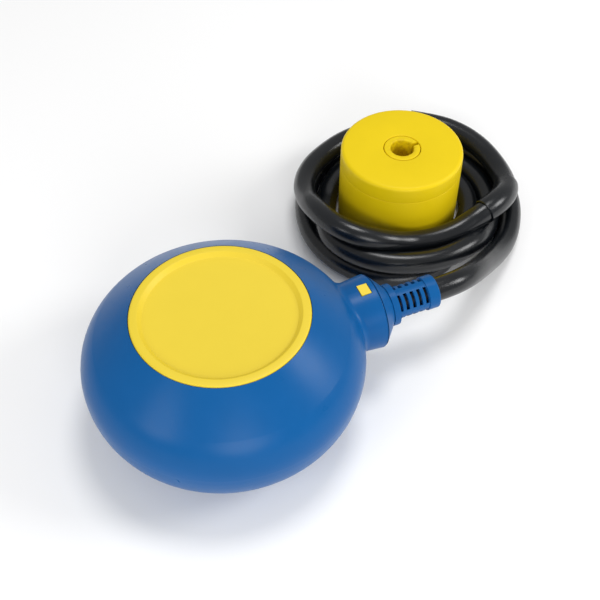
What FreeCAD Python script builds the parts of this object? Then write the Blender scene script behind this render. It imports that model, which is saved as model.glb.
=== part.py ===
import FreeCAD, Part
import math
import os

import Sketcher

# Cable float switch: a float with a tilt-operated switch inside, its cable and its counterweight.
# Millimetres. Z is up, X runs along the neck, and the origin is the middle of the float's foot.

os.makedirs("parts", exist_ok=True)
doc = FreeCAD.newDocument("cable_float_switch")


# Driving dimensions
sizes = {
    # float shell
    "float_radius": 50.5,
    "float_height": 53.0,
    "equator_height": 28.0,
    "shoulder_drop": 5.5,
    "shoulder_sweep": 46.0,
    "crown_radius": 170.0,
    "shell_wall": 2.5,
    # cover disc and its seal
    "cover_radius": 31.0,
    "cover_gap": 0.2,
    "cover_seat_depth": 3.0,
    "cover_ledge": 4.0,
    "cover_proud": 0.4,
    "cover_rim_width": 3.6,
    "cover_dish": 1.0,
    "skirt_gap": 0.3,
    "skirt_wall": 2.2,
    "skirt_depth": 5.0,
    "seal_radius": 0.75,
    "seal_drop": 2.4,
    "cover_post_radius": 1.8,
    "cover_post_circle": 13.5,
    "thumb_notch_width": 2.4,
    # neck and collar
    "neck_height": 27.0,
    "neck_overlap": 20.0,
    "neck_root_radius": 11.63,
    "collar_radius": 14.2,
    "collar_reach": 7.9,
    "neck_blend": 3.0,
    "collar_round": 0.6,
    "neck_bore": 10.6,
    "gland_depth": 9.9,
    "neck_step_width": 2.5,
    "neck_step_bore": 7.0,
    "window_length": 4.2,
    "window_width": 5.2,
    "window_shift": 0.6,
    # gland
    "cable_radius": 4.6,
    "cable_gap": 0.2,
    "jacket_inset": 7.5,
    "lead_reach": 18.1,
    "grommet_length": 2.9,
    "washer_thickness": 0.8,
    "clip_length": 5.2,
    "clip_wall": 2.9,
    "latch_gap": 0.2,
    "latch_proud": 0.25,
    "gland_gap": 0.1,
    "plug_cone_length": 5.4,
    "plug_ring_radius": 8.0,
    "plug_ring_length": 2.5,
    "plug_face_gap": 0.2,
    "plug_face_step": 0.4,
    # strain relief
    "relief_radius": 6.1,
    "relief_reach": 25.4,
    "relief_depth": 5.6,
    "relief_ring_radius": 6.45,
    "relief_ring_length": 4.4,
    "relief_round": 0.5,
    "slot_width": 1.4,
    "slot_pitch": 2.7,
    "slot_span": 6.2,
    "first_slot_reach": 9.2,
    # dry chamber
    "chamber_length": 46.0,
    "chamber_width": 24.0,
    "chamber_height": 24.0,
    "chamber_floor_height": 10.0,
    "chamber_wall": 1.8,
    "chamber_corner": 5.0,
    "post_radius": 2.4,
    "post_spread_x": 15.0,
    "post_spread_y": 8.0,
    "gasket_thickness": 0.8,
    "lid_thickness": 2.2,
    "boss_radius": 2.2,
    "boss_inset_x": 1.4,
    "boss_inset_y": 1.1,
    "screw_radius": 1.1,
    "screw_head_radius": 2.1,
    "screw_head_height": 1.3,
    "screw_length": 10.0,
    # ball and its guide
    "ball_radius": 5.5,
    "ball_gap": 0.2,
    "guide_wall": 1.0,
    "ball_axis_height": 25.5,
    "guide_end": 0.5,
    "ball_end_gap": 0.5,
    "saddle_width": 2.0,
    "saddle_spread": 6.5,
    "saddle_middle": -10.5,
    # microswitch
    "case_front": 3.5,
    "case_depth": 10.2,
    "case_height": 19.8,
    "case_floor": 1.2,
    "case_width": 6.4,
    "case_wall": 1.4,
    "case_side_wall": 1.2,
    "case_back_wall": 2.7,
    "case_lid_thickness": 0.8,
    "hinge_height": 2.4,
    "hinge_forward": 1.3,
    "hinge_ear_radius": 1.3,
    "hinge_ear_width": 1.1,
    "pin_radius": 0.6,
    "pin_gap": 0.05,
    "lever_side_gap": 0.2,
    "lever_barrel_radius": 1.2,
    "lever_thickness": 0.4,
    "lever_height": 16.6,
    "lever_gap": 0.2,
    "plunger_radius": 1.0,
    "plunger_gap": 0.05,
    "plunger_end_gap": 0.4,
    "plunger_rise": 6.3,
    "plunger_collar": 1.5,
    "plunger_collar_length": 1.0,
    "switch_hole_pitch": 9.5,
    "switch_hole_inset": 1.3,
    "switch_screw_radius": 1.0,
    "switch_screw_head": 1.9,
    "switch_screw_head_height": 1.2,
    "contact_width": 2.4,
    "contact_thickness": 0.6,
    "contact_pitch": 7.3,
    "contact_inset": 2.3,
    "contact_tail": 2.1,
    "blade_thickness": 0.3,
    "blade_gap": 0.06,
    "blade_tip_gap": 0.6,
    "blade_swing_gap": 0.65,
    "blade_stop_height": 1.7,
    # cores
    "core_radius": 0.8,
    "core_pitch": 3.3,
    "core_pitch_in_cable": 1.9,
    "core_plug_radius": 5.0,
    "core_plug_flange": 6.0,
    "core_plug_flange_length": 1.2,
    # hank of cable
    "coil_reach": 30.9,
    "coil_y": 65.8,
    "coil_radius": 50.0,
    "coil_height": 18.6,
    "coil_hole_radius": 26.1,
    "coil_hole_shift_x": -4.2,
    "coil_hole_shift_y": 1.0,
    "coil_round": 4.5,
    "sleeve_length": 18.0,
    "sleeve_wall": 0.5,
    "sleeve_shift_x": 20.7,
    "sleeve_shift_y": -30.7,
    "sleeve_height": 16.0,
    # counterweight
    "weight_shift_x": -4.2,
    "weight_shift_y": 1.0,
    "weight_radius": 25.5,
    "weight_height": 37.5,
    "weight_draft": 0.2,
    "weight_split": 30.0,
    "weight_wall": 2.0,
    "weight_round": 1.2,
    "weight_bore": 4.8,
    "weight_column_wall": 1.8,
    "ballast_gap": 0.3,
    "ballast_height": 24.0,
    "clamp_radius": 7.5,
    "clamp_gap": 0.25,
    "clamp_depth": 9.5,
    "clamp_slit": 1.6,
    "clamp_chamfer": 0.6,
}

sheet = doc.addObject("Spreadsheet::Sheet", "Sizes")
for row, (alias, value) in enumerate(sizes.items(), start=1):
    sheet.set(f"A{row}", alias)
    sheet.set(f"B{row}", str(value))
    sheet.setAlias(f"B{row}", alias)
doc.recompute()


# A length held twice: as a number, and as the formula that the sheet works out
class Size:
    def __init__(self, value, formula):
        self.value = value
        self.formula = formula

    def __add__(self, other):
        return join(self, "+", other)

    def __radd__(self, other):
        return join(other, "+", self)

    def __sub__(self, other):
        return join(self, "-", other)

    def __rsub__(self, other):
        return join(other, "-", self)

    def __mul__(self, other):
        return join(self, "*", other)

    def __rmul__(self, other):
        return join(other, "*", self)

    def __truediv__(self, other):
        return join(self, "/", other)

    def __neg__(self):
        return join(0, "-", self)


def as_size(item):
    if isinstance(item, Size):
        return item
    return Size(float(item), repr(float(item)))


def join(left, sign, right):
    first = as_size(left)
    second = as_size(right)
    results = {
        "+": first.value + second.value,
        "-": first.value - second.value,
        "*": first.value * second.value,
        "/": first.value / second.value if second.value else 0.0,
    }
    return Size(results[sign], f"({first.formula} {sign} {second.formula})")


def cosine(angle):
    return Size(math.cos(math.radians(angle.value)), f"cos({angle.formula})")


def sine(angle):
    return Size(math.sin(math.radians(angle.value)), f"sin({angle.formula})")


class Dimensions:
    pass


dim = Dimensions()
for alias, value in sizes.items():
    setattr(dim, alias, Size(value, "Sizes." + alias))


# Document objects tied to the sheet
def bind(item, name, length):
    item.setExpression(name, as_size(length).formula)


def place(item, x=0, y=0, z=0):
    for axis, length in (("x", x), ("y", y), ("z", z)):
        bind(item, "Placement.Base." + axis, length)
    return item


def turn(item, axis, angle):
    item.Placement = FreeCAD.Placement(FreeCAD.Vector(), FreeCAD.Rotation(axis, angle))
    return item


X_AXIS = FreeCAD.Vector(1, 0, 0)
Y_AXIS = FreeCAD.Vector(0, 1, 0)
Z_AXIS = FreeCAD.Vector(0, 0, 1)
QUARTER_TURN = 90
FULL_TURN = 360
NEAR_ZERO = 0.001


# A cylinder along X, Y or Z that starts at the given point
def rod(name, radius, length, x=0, y=0, z=0, along="Z"):
    item = doc.addObject("Part::Cylinder", name)
    bind(item, "Radius", radius)
    bind(item, "Height", length)
    if along == "X":
        turn(item, Y_AXIS, QUARTER_TURN)
    if along == "Y":
        turn(item, X_AXIS, -QUARTER_TURN)
    return place(item, x, y, z)


# A block between two corners
def block(name, low, high):
    item = doc.addObject("Part::Box", name)
    for side, start, end in zip(("Length", "Width", "Height"), low, high):
        bind(item, side, as_size(end) - start)
    return place(item, *low)


def cut(name, base, tool):
    item = doc.addObject("Part::Cut", name)
    item.Base = base
    item.Tool = tool
    return item


def fuse(name, pieces):
    item = doc.addObject("Part::MultiFuse", name)
    item.Shapes = pieces
    item.Refine = True
    return item


def common(name, first, second):
    item = doc.addObject("Part::Common", name)
    item.Base = first
    item.Tool = second
    return item


def drill(name, base, tools):
    return cut(name, base, fuse(name + "_tools", tools) if len(tools) > 1 else tools[0])


def edges_where(shape, test):
    return [index for index, edge in enumerate(shape.Edges, start=1) if test(edge)]


def upright(edge):
    ends = edge.Vertexes
    if len(ends) != 2:
        return False
    run = ends[1].Point - ends[0].Point
    return abs(run.x) + abs(run.y) < NEAR_ZERO < abs(run.z)


# Round the chosen edges of a finished shape
def rounded(name, base, test, radius):
    doc.recompute()
    item = doc.addObject("Part::Fillet", name)
    item.Base = base
    chosen = edges_where(base.Shape, test)
    item.Edges = [(index, radius.value, radius.value) for index in chosen]
    return item


# Sketches whose corners are all tied to the sheet
class Bow:
    # An arc to the next corner: it bulges to the left of the way there, or to the right
    def __init__(self, radius, side):
        self.radius = as_size(radius)
        self.side = side


def origin_plane(body, role):
    return next(item for item in body.Origin.OriginFeatures if item.Role == role)


def arc_between(start, end, radius, side):
    chord = end - start
    middle = (start + end) * 0.5
    left = FreeCAD.Vector(-chord.y, chord.x, 0).normalize()
    rise = math.sqrt(max(radius ** 2 - (chord.Length / 2) ** 2, 0.0))
    centre = middle - left * rise * side
    start_angle = math.atan2(start.y - centre.y, start.x - centre.x)
    end_angle = math.atan2(end.y - centre.y, end.x - centre.x)
    circle = Part.Circle(centre, Z_AXIS, radius)
    if side > 0:
        return Part.ArcOfCircle(circle, end_angle, start_angle)
    return Part.ArcOfCircle(circle, start_angle, end_angle)


def fix_corner(sketch, edge, point, corner):
    for kind, length, axis in (("DistanceX", corner[0], -2), ("DistanceY", corner[1], -1)):
        if not isinstance(length, Size):
            sketch.addConstraint(Sketcher.Constraint("PointOnObject", edge, point, axis))
            continue
        number = sketch.addConstraint(Sketcher.Constraint(kind, -1, 1, edge, point, length.value))
        sketch.setExpression(f"Constraints[{number}]", length.formula)


# A closed outline from a list of corners (x, y), with a Bow before a corner that an arc leads to.
# A plain zero in a corner keeps it on the axis.
def outline(sketch, path):
    corners = []
    bows = []
    for step in path:
        if isinstance(step, Bow):
            bows[-1] = step
            continue
        corners.append(step)
        bows.append(None)
    points = [FreeCAD.Vector(as_size(x).value, as_size(y).value, 0) for x, y in corners]
    first_edge = sketch.GeometryCount
    starts = []
    ends = []
    for index, bow in enumerate(bows):
        start = points[index]
        end = points[(index + 1) % len(points)]
        if bow is None:
            edge = sketch.addGeometry(Part.LineSegment(start, end), False)
            starts.append((edge, 1))
            ends.append((edge, 2))
            continue
        edge = sketch.addGeometry(arc_between(start, end, bow.radius.value, bow.side), False)
        number = sketch.addConstraint(Sketcher.Constraint("Radius", edge, bow.radius.value))
        sketch.setExpression(f"Constraints[{number}]", bow.radius.formula)
        starts.append((edge, 2 if bow.side > 0 else 1))
        ends.append((edge, 1 if bow.side > 0 else 2))
    for index, corner in enumerate(corners):
        sketch.addConstraint(Sketcher.Constraint("Coincident", *ends[index - 1], *starts[index]))
        fix_corner(sketch, *starts[index], corner)
    return first_edge


def new_body(name):
    return doc.addObject("PartDesign::Body", name)


def new_sketch(body, name, role="XZ_Plane", lift=None):
    sketch = body.newObject("Sketcher::SketchObject", name)
    sketch.AttachmentSupport = [(origin_plane(body, role), "")]
    sketch.MapMode = "FlatFace"
    if lift is not None:
        bind(sketch, "AttachmentOffset.Base.z", lift)
    return sketch


# Turn an outline about the sketch's upright axis (V) or flat axis (H)
def revolve(body, name, path, axis, groove=False):
    sketch = new_sketch(body, name + "_outline")
    outline(sketch, path)
    kind = "PartDesign::Groove" if groove else "PartDesign::Revolution"
    feature = body.newObject(kind, name)
    feature.Profile = sketch
    feature.ReferenceAxis = (sketch, [axis + "_Axis"])
    feature.Angle = FULL_TURN
    return feature


def pad(body, name, path, length, role="XZ_Plane", lift=None, both_ways=True):
    sketch = new_sketch(body, name + "_outline", role, lift)
    outline(sketch, path)
    feature = body.newObject("PartDesign::Pad", name)
    feature.Profile = sketch
    feature.Midplane = both_ways
    bind(feature, "Length", length)
    return feature


def rectangle(low, high):
    return [(low[0], low[1]), (high[0], low[1]), (high[0], high[1]), (low[0], high[1])]


# Straight runs joined by tangent arcs, as cables and cores lie
BEND_SHARE = 0.45
SMALLEST_TURN = 0.002


def bend_radius(before, corner, after):
    arriving = (corner - before).normalize()
    leaving = (after - corner).normalize()
    half_turn = arriving.getAngle(leaving) / 2
    if half_turn < SMALLEST_TURN:
        return None, None, None
    reach = BEND_SHARE * min((corner - before).Length, (after - corner).Length)
    return reach / math.tan(half_turn), corner - arriving * reach, corner + leaving * reach


def smooth_path(points):
    edges = []
    radii = []
    cursor = points[0]
    for before, corner, after in zip(points, points[1:], points[2:]):
        radius, arc_start, arc_end = bend_radius(before, corner, after)
        if radius is None:
            continue
        inward = ((arc_start + arc_end) * 0.5 - corner).normalize()
        centre_distance = math.hypot(radius, (corner - arc_start).Length)
        middle = corner + inward * (centre_distance - radius)
        edges.append(Part.LineSegment(cursor, arc_start).toShape())
        edges.append(Part.Arc(arc_start, middle, arc_end).toShape())
        radii.append(radius)
        cursor = arc_end
    edges.append(Part.LineSegment(cursor, points[-1]).toShape())
    return Part.Wire(edges), radii


def tube_along(points, radius):
    path, radii = smooth_path(points)
    disc = Part.Wire(Part.Circle(points[0], points[1] - points[0], radius).toShape())
    solid = path.makePipeShell([disc], True, False)
    expected = math.pi * radius ** 2 * path.Length
    return solid, radii, solid.Volume / expected


def finished_feature(name, shape):
    item = doc.addObject("Part::Feature", name)
    item.Shape = shape
    return item


# Places along the neck, all counted from the float's edge
collar_end = dim.float_radius + dim.collar_reach
neck_root = dim.float_radius - dim.neck_overlap
neck_step = collar_end - dim.gland_depth
washer_start = neck_step + dim.grommet_length
clip_start = washer_start + dim.washer_thickness
clip_end = clip_start + dim.clip_length
window_middle = (clip_start + clip_end) / 2 - dim.window_shift
first_slot = collar_end + dim.first_slot_reach
relief_end = collar_end + dim.relief_reach
lead_start = collar_end + dim.lead_reach
jacket_end = dim.float_radius - dim.jacket_inset


# Float shell: foot, belly arc, shoulder arc and crown, hollow, with the cover's seat on top
shoulder_radius = dim.float_height - dim.equator_height - dim.shoulder_drop
foot_radius = dim.float_radius - dim.equator_height
shoulder_centre = dim.float_radius - shoulder_radius
shoulder_x = shoulder_centre + shoulder_radius * cosine(dim.shoulder_sweep)
shoulder_z = dim.equator_height + shoulder_radius * sine(dim.shoulder_sweep)
seat_radius = dim.cover_radius + dim.cover_gap
seat_height = dim.float_height - dim.cover_seat_depth
opening_radius = dim.cover_radius - dim.cover_ledge
ledge_bottom = seat_height - dim.shell_wall
inner_shoulder = shoulder_radius - dim.shell_wall
inner_x = shoulder_centre + inner_shoulder * cosine(dim.shoulder_sweep)
inner_z = dim.equator_height + inner_shoulder * sine(dim.shoulder_sweep)
crown_run = (shoulder_x - seat_radius) / (dim.float_height - shoulder_z)
ledge_x = inner_x - (ledge_bottom - inner_z) * crown_run
RIGHT = -1
LEFT = 1

float_body = new_body("float_body")
revolve(float_body, "shell", [
    (0, 0),
    (foot_radius, 0),
    Bow(dim.equator_height, RIGHT),
    (dim.float_radius, dim.equator_height),
    Bow(shoulder_radius, RIGHT),
    (shoulder_x, shoulder_z),
    Bow(dim.crown_radius, RIGHT),
    (seat_radius, dim.float_height),
    (seat_radius, seat_height),
    (opening_radius, seat_height),
    (opening_radius, ledge_bottom),
    (0, ledge_bottom),
], "V")


# A sketch axis along the neck, at the height of the cable
AXIS_LINE_LENGTH = 10


def neck_revolve(name, path, groove=False):
    sketch = new_sketch(float_body, name + "_outline")
    outline(sketch, path)
    start = FreeCAD.Vector(0, dim.neck_height.value, 0)
    axis = sketch.addGeometry(Part.LineSegment(start, start + X_AXIS * AXIS_LINE_LENGTH), True)
    sketch.addConstraint(Sketcher.Constraint("Horizontal", axis))
    sketch.addConstraint(Sketcher.Constraint("PointOnObject", axis, 1, -2))
    number = sketch.addConstraint(Sketcher.Constraint("DistanceY", -1, 1, axis, 1, start.y))
    sketch.setExpression(f"Constraints[{number}]", dim.neck_height.formula)
    kind = "PartDesign::Groove" if groove else "PartDesign::Revolution"
    feature = float_body.newObject(kind, name)
    feature.Profile = sketch
    feature.ReferenceAxis = (sketch, ["Axis0"])
    feature.Angle = FULL_TURN
    return feature


neck_revolve("neck", [
    (neck_root, dim.neck_height),
    (collar_end, dim.neck_height),
    (collar_end, dim.neck_height + dim.collar_radius - dim.collar_round),
    Bow(dim.collar_round, LEFT),
    (collar_end - dim.collar_round, dim.neck_height + dim.collar_radius),
    (neck_root, dim.neck_height + dim.neck_root_radius),
])


# The neck runs into the shell with a blend all round
def neck_seam(edge):
    run = (collar_end - dim.collar_round - neck_root).value
    slope = (dim.collar_radius - dim.neck_root_radius).value / run
    first, last = edge.ParameterRange
    for step in range(SEAM_SAMPLES):
        point = edge.valueAt(first + (last - first) * step / (SEAM_SAMPLES - 1))
        radius = math.hypot(point.y, point.z - dim.neck_height.value)
        expected = dim.neck_root_radius.value + slope * (point.x - neck_root.value)
        if abs(radius - expected) > SEAM_MISS or point.x > dim.float_radius.value:
            return False
    return True


SEAM_SAMPLES = 5
SEAM_MISS = 0.01
doc.recompute()
shell_and_neck = float_body.Tip
neck_blend = float_body.newObject("PartDesign::Fillet", "neck_blend")
neck_blend.Base = (shell_and_neck, [
    f"Edge{index}" for index in edges_where(shell_and_neck.Shape, neck_seam)])
bind(neck_blend, "Radius", dim.neck_blend)

revolve(float_body, "cavity", [
    (0, dim.shell_wall),
    (foot_radius, dim.shell_wall),
    Bow(dim.equator_height - dim.shell_wall, RIGHT),
    (dim.float_radius - dim.shell_wall, dim.equator_height),
    Bow(inner_shoulder, RIGHT),
    (inner_x, inner_z),
    (ledge_x, ledge_bottom),
    (0, ledge_bottom),
], "V", groove=True)
step_inner = neck_step - dim.neck_step_width
neck_revolve("neck_step", [
    (step_inner, dim.neck_height + dim.neck_step_bore),
    (collar_end - dim.collar_round, dim.neck_height + dim.neck_step_bore),
    (collar_end - dim.collar_round, dim.neck_height + dim.neck_root_radius),
    (step_inner, dim.neck_height + dim.neck_root_radius),
])
neck_revolve("neck_bore", [
    (neck_root, dim.neck_height),
    (neck_root, dim.neck_height + dim.neck_step_bore),
    (neck_step, dim.neck_height + dim.neck_step_bore),
    (neck_step, dim.neck_height + dim.neck_bore),
    (collar_end, dim.neck_height + dim.neck_bore),
    (collar_end, dim.neck_height),
], groove=True)

# Latch windows through the top and the underside of the collar
window_low = window_middle - dim.window_length / 2
window_high = window_middle + dim.window_length / 2
windows = new_sketch(float_body, "windows_outline", "XY_Plane")
outline(windows, rectangle((window_low, dim.window_width / -2), (window_high, dim.window_width / 2)))
window_cut = float_body.newObject("PartDesign::Pocket", "windows")
window_cut.Profile = windows
window_cut.Type = "ThroughAll"
window_cut.Reversed = True

# Posts on the float's floor that carry the dry chamber
for side_x in (-1, 1):
    for side_y in (-1, 1):
        name = f"post_{side_x + 1}{side_y + 1}"
        centre_x = dim.post_spread_x * side_x
        centre_y = dim.post_spread_y * side_y
        post = new_sketch(float_body, name + "_outline", "XY_Plane", lift=dim.shell_wall)
        edge = post.addGeometry(Part.Circle(
            FreeCAD.Vector(centre_x.value, centre_y.value, 0), Z_AXIS, dim.post_radius.value), False)
        fix_corner(post, edge, 3, (centre_x, centre_y))
        number = post.addConstraint(Sketcher.Constraint("Radius", edge, dim.post_radius.value))
        post.setExpression(f"Constraints[{number}]", dim.post_radius.formula)
        post_pad = float_body.newObject("PartDesign::Pad", name)
        post_pad.Profile = post
        bind(post_pad, "Length", dim.chamber_floor_height - dim.shell_wall)


# Cover disc: raised rim, dished middle, grooved skirt and the posts that hold the chamber down
rim_height = dim.float_height + dim.cover_proud
dish_radius = dim.cover_radius - dim.cover_rim_width
skirt_radius = opening_radius - dim.skirt_gap
skirt_inner = skirt_radius - dim.skirt_wall
skirt_bottom = seat_height - dim.skirt_depth
seal_height = seat_height - dim.seal_drop
groove_radius = opening_radius - dim.seal_radius * 2
COVER_POSTS = 4
lid_top = (dim.chamber_floor_height + dim.chamber_height
           + dim.gasket_thickness + dim.lid_thickness)
cover_disc = new_body("cover_disc")
revolve(cover_disc, "cover", [
    (0, seat_height),
    (skirt_inner, seat_height),
    (skirt_inner, skirt_bottom),
    (skirt_radius, skirt_bottom),
    (skirt_radius, seal_height - dim.seal_radius),
    (groove_radius, seal_height - dim.seal_radius),
    (groove_radius, seal_height + dim.seal_radius),
    (skirt_radius, seal_height + dim.seal_radius),
    (skirt_radius, seat_height),
    (dim.cover_radius, seat_height),
    (dim.cover_radius, rim_height - dim.collar_round),
    Bow(dim.collar_round, RIGHT),
    (dim.cover_radius - dim.collar_round, rim_height),
    (dish_radius, rim_height),
    (dish_radius, rim_height - dim.cover_dish),
    (0, rim_height - dim.cover_dish),
], "V")
pad(cover_disc, "thumb_notch_block", rectangle(
    (dish_radius - dim.cover_dish, dim.thumb_notch_width / -2),
    (dish_radius + dim.cover_dish, dim.thumb_notch_width / 2)),
    dim.cover_dish / 2, "XY_Plane", lift=rim_height - dim.cover_dish, both_ways=False)
posts = new_sketch(cover_disc, "cover_posts_outline", "XY_Plane", lift=lid_top)
post_edge = posts.addGeometry(Part.Circle(
    FreeCAD.Vector(dim.cover_post_circle.value, 0, 0), Z_AXIS, dim.cover_post_radius.value), False)
fix_corner(posts, post_edge, 3, (dim.cover_post_circle, 0))
number = posts.addConstraint(Sketcher.Constraint("Radius", post_edge, dim.cover_post_radius.value))
posts.setExpression(f"Constraints[{number}]", dim.cover_post_radius.formula)
cover_post = cover_disc.newObject("PartDesign::Pad", "cover_post")
cover_post.Profile = posts
bind(cover_post, "Length", seat_height - lid_top)
post_ring = cover_disc.newObject("PartDesign::PolarPattern", "cover_posts")
post_ring.Originals = [cover_post]
post_ring.Axis = (origin_plane(cover_disc, "Z_Axis"), [""])
post_ring.Angle = FULL_TURN
post_ring.Occurrences = COVER_POSTS
cover_disc.Tip = post_ring

cover_seal = doc.addObject("Part::Torus", "cover_seal")
bind(cover_seal, "Radius1", groove_radius + dim.seal_radius)
bind(cover_seal, "Radius2", dim.seal_radius)
place(cover_seal, z=seal_height)


# Gland: every piece is turned about the cable's line, so each stands in the neck's own frame
def neck_body(name):
    body = new_body(name)
    place(body, z=dim.neck_height)
    return body


sleeve_bore = dim.cable_radius + dim.cable_gap
seal_radius_in_neck = dim.neck_bore - dim.gland_gap
clip_inner = seal_radius_in_neck - dim.clip_wall
plug_tube_radius = clip_inner - dim.gland_gap
plug_face = collar_end + dim.plug_face_gap
plug_ring_start = plug_face + dim.plug_cone_length
plug_ring_end = plug_ring_start + dim.plug_ring_length
relief_start = plug_ring_end - dim.relief_depth
relief_socket = dim.relief_radius + dim.gland_gap

cable_grommet = neck_body("cable_grommet")
revolve(cable_grommet, "grommet_ring", rectangle(
    (neck_step, dim.cable_radius), (washer_start, dim.neck_bore)), "H")

grommet_washer = neck_body("grommet_washer")
revolve(grommet_washer, "washer_ring", rectangle(
    (washer_start, sleeve_bore), (clip_start, seal_radius_in_neck)), "H")

gland_clip = neck_body("gland_clip")
revolve(gland_clip, "clip_ring", rectangle(
    (clip_start, clip_inner), (clip_end, seal_radius_in_neck)), "H")
LATCHES = 2
latch_low = window_low + dim.latch_gap
latch_high = window_high - dim.latch_gap
latch_half = dim.window_width / 2 - dim.latch_gap
latch_base = seal_radius_in_neck - dim.clip_wall / 2
latch_top = dim.collar_radius + dim.latch_proud - dim.collar_round
latch = pad(gland_clip, "latch", rectangle(
    (latch_low, latch_half * -1), (latch_high, latch_half)),
    latch_top - latch_base, "XY_Plane", lift=latch_base, both_ways=False)
latches = gland_clip.newObject("PartDesign::PolarPattern", "latches")
latches.Originals = [latch]
latches.Axis = (origin_plane(gland_clip, "X_Axis"), [""])
latches.Angle = FULL_TURN
latches.Occurrences = LATCHES
gland_clip.Tip = latches

gland_plug = neck_body("gland_plug")
revolve(gland_plug, "plug", [
    (clip_start, sleeve_bore),
    (clip_start, plug_tube_radius),
    (plug_face, plug_tube_radius),
    (plug_face, dim.collar_radius - dim.plug_face_step),
    (plug_ring_start, dim.plug_ring_radius - dim.plug_face_step),
    (plug_ring_start, dim.plug_ring_radius),
    (plug_ring_end, dim.plug_ring_radius),
    (plug_ring_end, relief_socket),
    (relief_start, relief_socket),
    (relief_start, sleeve_bore),
], "H")

strain_relief = neck_body("strain_relief")
ring_start = relief_end - dim.relief_ring_length
revolve(strain_relief, "sleeve", [
    (relief_start, sleeve_bore),
    (relief_start, dim.relief_radius),
    (ring_start, dim.relief_radius),
    (ring_start, dim.relief_ring_radius),
    (relief_end - dim.relief_round, dim.relief_ring_radius),
    Bow(dim.relief_round, LEFT),
    (relief_end, dim.relief_ring_radius - dim.relief_round),
    (relief_end, sleeve_bore),
], "H")
SLOT_ROWS = 4
SLOTS_IN_ROW = 5
SLOT_ROW_ANGLE = 45
slots = new_sketch(strain_relief, "slots_outline")
slots.AttachmentOffset = FreeCAD.Placement(FreeCAD.Vector(), FreeCAD.Rotation(X_AXIS, SLOT_ROW_ANGLE))
for index in range(SLOTS_IN_ROW):
    slot_start = first_slot - dim.slot_width / 2 + dim.slot_pitch * index
    outline(slots, rectangle(
        (slot_start, dim.slot_span / -2), (slot_start + dim.slot_width, dim.slot_span / 2)))
slot_cut = strain_relief.newObject("PartDesign::Pocket", "slot_row")
slot_cut.Profile = slots
slot_cut.Type = "ThroughAll"
slot_rows = strain_relief.newObject("PartDesign::PolarPattern", "slot_rows")
slot_rows.Originals = [slot_cut]
slot_rows.Axis = (origin_plane(strain_relief, "X_Axis"), [""])
slot_rows.Angle = FULL_TURN
slot_rows.Occurrences = SLOT_ROWS
strain_relief.Tip = slot_rows

cable_end = neck_body("cable_end")
revolve(cable_end, "jacket", rectangle((jacket_end, 0), (lead_start, dim.cable_radius)), "H")


# Dry chamber: an open box with a lid, which stands on the float's posts
half_length = dim.chamber_length / 2
half_width = dim.chamber_width / 2
chamber_floor = dim.chamber_floor_height
chamber_top = chamber_floor + dim.chamber_height
inside_floor = chamber_floor + dim.chamber_wall
inside_x = half_length - dim.chamber_wall
inside_y = half_width - dim.chamber_wall
boss_x = inside_x - dim.boss_inset_x
boss_y = inside_y - dim.boss_inset_y
gasket_top = chamber_top + dim.gasket_thickness
screw_bottom = lid_top - dim.screw_length
core_height = (inside_floor + dim.case_floor + dim.contact_inset
               + dim.contact_thickness / 2 + dim.contact_pitch)
guide_radius = dim.ball_radius + dim.ball_gap + dim.guide_wall
CORNERS = [(side_x, side_y) for side_x in (-1, 1) for side_y in (-1, 1)]


def corner_rods(name, radius, length, z):
    return [rod(f"{name}_{number}", radius, length, boss_x * side_x, boss_y * side_y, z)
            for number, (side_x, side_y) in enumerate(CORNERS)]


def chamber_slab(name, low_z, high_z, inset=0):
    slab = block(name + "_block", (inset - half_length, inset - half_width, low_z),
                 (half_length - inset, half_width - inset, high_z))
    return rounded(name, slab, upright, dim.chamber_corner)


switch_y = dim.case_width / 2
case_bottom = inside_floor + dim.case_floor
case_top = case_bottom + dim.case_height
case_back = dim.case_front + dim.case_depth
hole_x = case_back - dim.switch_hole_inset
hole_low = (case_bottom + case_top) / 2 - dim.switch_hole_pitch / 2
hole_high = hole_low + dim.switch_hole_pitch
chamber_cavity = block("chamber_cavity", (inside_x * -1, inside_y * -1, inside_floor),
                       (inside_x, inside_y, chamber_top))
chamber_shell = cut("chamber_shell", chamber_slab("chamber_outside", chamber_floor, chamber_top),
                    chamber_cavity)
saddle_tops = []
for number, side in enumerate((-1, 1)):
    middle = dim.saddle_middle + dim.saddle_spread * side / 2
    saddle_tops.append(block(
        f"saddle_{number}",
        (middle - dim.saddle_width / 2, guide_radius * -1, inside_floor),
        (middle + dim.saddle_width / 2, guide_radius, dim.ball_axis_height)))
switch_posts = [rod(f"switch_post_{number}", dim.switch_screw_head, inside_y - switch_y,
                    hole_x, inside_y * -1, height, "Y")
                for number, height in enumerate((hole_low, hole_high))]
bosses = corner_rods("lid_boss", dim.boss_radius, chamber_top - inside_floor, inside_floor)
chamber_solid = fuse("chamber_solid", [chamber_shell] + saddle_tops + switch_posts + bosses)
guide_seat = rod("guide_seat", guide_radius, inside_x * 2, inside_x * -1, 0,
                 dim.ball_axis_height, "X")
guide_room = common("guide_room", guide_seat, block(
    "guide_room_block", (inside_x * -1, half_width * -1, inside_floor),
    (inside_x, half_width, chamber_top)))
core_window = rod("core_window", dim.core_plug_radius, dim.chamber_wall,
                  inside_x, 0, core_height, "X")
switch_pilots = [rod(f"switch_pilot_{number}", dim.switch_screw_radius,
                     inside_y - switch_y, hole_x, inside_y * -1, height, "Y")
                 for number, height in enumerate((hole_low, hole_high))]
pilots = corner_rods("lid_pilot", dim.screw_radius, chamber_top - screw_bottom, screw_bottom)
capsule_base = drill("capsule_base", chamber_solid,
                     [guide_room, core_window] + switch_pilots + pilots)

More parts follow.
